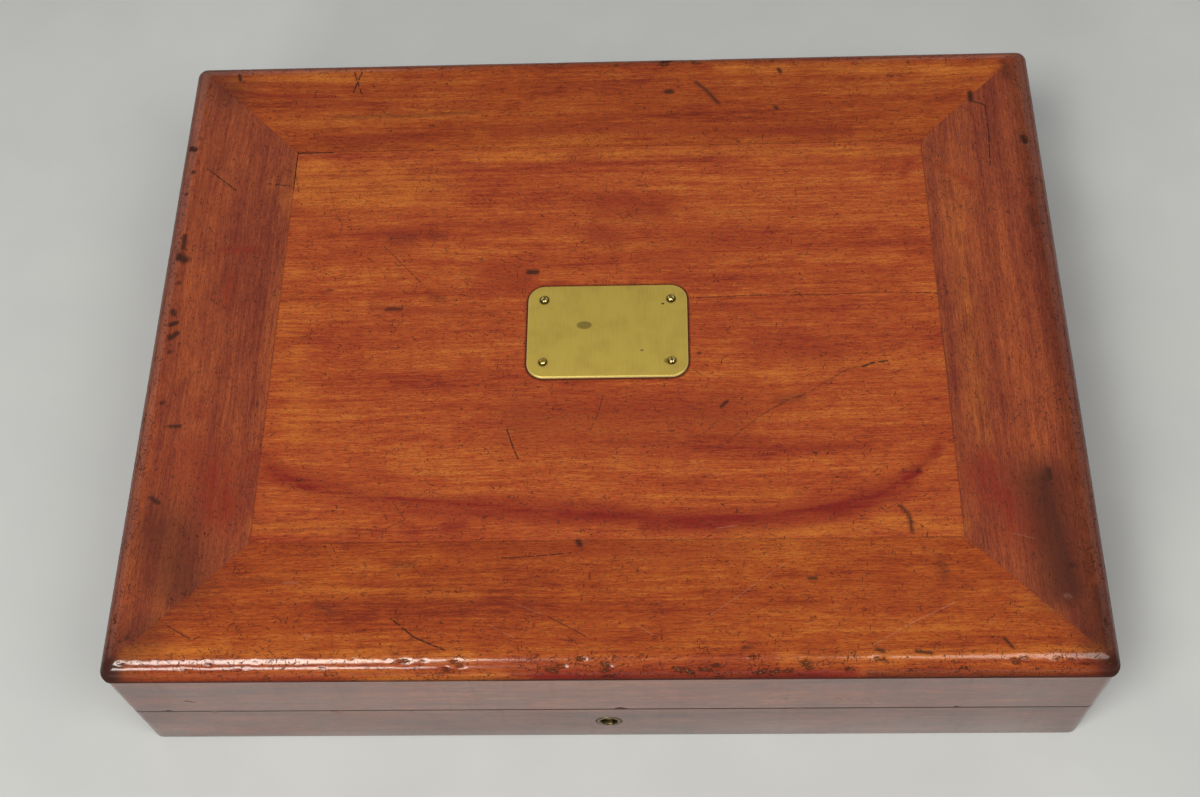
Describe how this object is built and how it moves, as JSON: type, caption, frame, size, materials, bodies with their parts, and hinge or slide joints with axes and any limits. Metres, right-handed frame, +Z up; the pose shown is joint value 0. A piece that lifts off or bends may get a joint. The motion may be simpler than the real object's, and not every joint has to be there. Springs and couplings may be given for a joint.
{
  "type": "flatware chest",
  "caption": "Shallow wooden chest for table silver with a framed and panelled hinged lid, a flush box lock, a blank brass plate on top and slotted racks inside.",
  "frame": {"origin": "on the surface that the chest stands on, under the middle of its overall box", "axes": "+X along the width to the right, +Y to the back where the hinges are, +Z up"},
  "size_m": [0.457, 0.3562, 0.0978],
  "materials": {
    "mahogany": "polished red-brown mahogany",
    "panel_wood": "polished figured mahogany",
    "bottom_wood": "plain unpolished board",
    "covered_wood": "wood covered in green baize",
    "baize": "green baize",
    "brass": "dull brushed brass",
    "steel": "oiled steel"
  },
  "bodies": {
    "base": {"base_front": "mahogany", "base_right": "mahogany", "base_back": "mahogany", "base_left": "mahogany", "base_bottom": "bottom_wood", "base_lining": "baize", "bay_divider": "covered_wood", "left_outer_rack": "covered_wood", "left_inner_rack": "covered_wood", "right_outer_rack": "covered_wood", "right_inner_rack": "covered_wood", "left_hinge_base_leaf": "brass", "left_hinge_pin": "steel", "left_hinge_base_screw_1": "brass", "left_hinge_base_screw_2": "brass", "left_hinge_base_screw_3": "brass", "right_hinge_base_leaf": "brass", "right_hinge_pin": "steel", "right_hinge_base_screw_1": "brass", "right_hinge_base_screw_2": "brass", "right_hinge_base_screw_3": "brass", "lock_case": "brass", "lock_cap": "brass", "key_pin": "brass", "key_nozzle": "brass", "lock_screw_1": "brass", "lock_screw_2": "brass"},
    "lid": {"lid_front": "mahogany", "lid_right": "mahogany", "lid_back": "mahogany", "lid_left": "mahogany", "top_frame_front": "mahogany", "top_frame_right": "mahogany", "top_frame_back": "mahogany", "top_frame_left": "mahogany", "top_panel": "panel_wood", "name_plate": "brass", "plate_screw_1": "brass", "plate_screw_2": "brass", "plate_screw_3": "brass", "plate_screw_4": "brass", "lid_lining": "baize", "knife_front_rail": "covered_wood", "knife_back_rail": "covered_wood", "left_hinge_lid_leaf": "brass", "left_hinge_lid_screw_1": "brass", "left_hinge_lid_screw_2": "brass", "left_hinge_lid_screw_3": "brass", "right_hinge_lid_leaf": "brass", "right_hinge_lid_screw_1": "brass", "right_hinge_lid_screw_2": "brass", "right_hinge_lid_screw_3": "brass", "link_plate": "brass", "link_screw_1": "brass", "link_screw_2": "brass"},
    "bolt": {"lock_bolt": "steel", "bolt_spring": "steel"}
  },
  "joints": [
    {"name": "lid_hinge", "type": "hinge", "parent": "base", "child": "lid", "pos_m": [0, 0.17538, 0.0415], "axis": [-1, 0, 0], "range_deg": [0, 98]},
    {"name": "bolt_slide", "type": "slide", "parent": "base", "child": "bolt", "axis": [1, 0, 0], "range_m": [0, 0.0045]}
  ]
}
